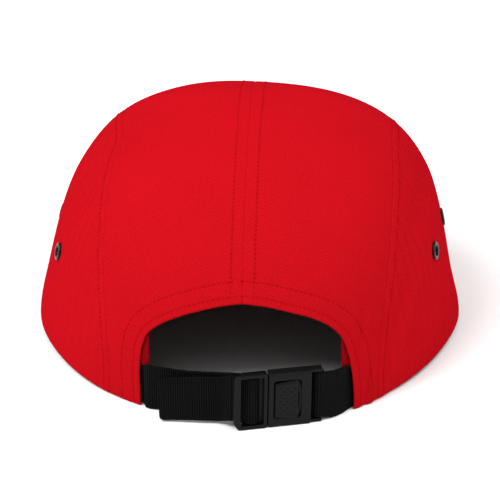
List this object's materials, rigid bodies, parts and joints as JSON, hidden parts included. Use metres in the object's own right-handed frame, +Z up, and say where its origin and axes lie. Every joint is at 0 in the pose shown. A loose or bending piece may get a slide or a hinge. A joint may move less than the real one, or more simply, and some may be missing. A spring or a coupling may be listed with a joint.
{
  "type": "cap",
  "caption": "Five panel cap in red cotton twill with a sewn peak, ring eyelets, a rear arch and a black webbing strap with a push buckle.",
  "frame": {"origin": "centre of the bounding box on the surface that the cap rests on", "axes": "+Y forwards over the peak, +X to the wearer's right, +Z up"},
  "size_m": [0.1848, 0.2672, 0.1049],
  "materials": {
    "red_twill": "matt twill",
    "black_cotton": "matt",
    "black_webbing": "ribbed",
    "black_plastic": "fine grain",
    "black_metal": "satin"
  },
  "bodies": {
    "root": {"front_panel": "red_twill", "side_panel_left": "red_twill", "side_panel_right": "red_twill", "back_panel_left": "red_twill", "back_panel_right": "red_twill", "peak": "red_twill", "front_backing": "black_cotton", "sweatband": "black_cotton", "strap_left": "black_webbing", "strap_right": "black_webbing", "buckle_insert": "black_plastic", "buckle_socket": "black_plastic", "eyelet_left_rear": "black_metal", "eyelet_left_front": "black_metal", "eyelet_right_rear": "black_metal", "eyelet_right_front": "black_metal"}
  },
  "joints": []
}
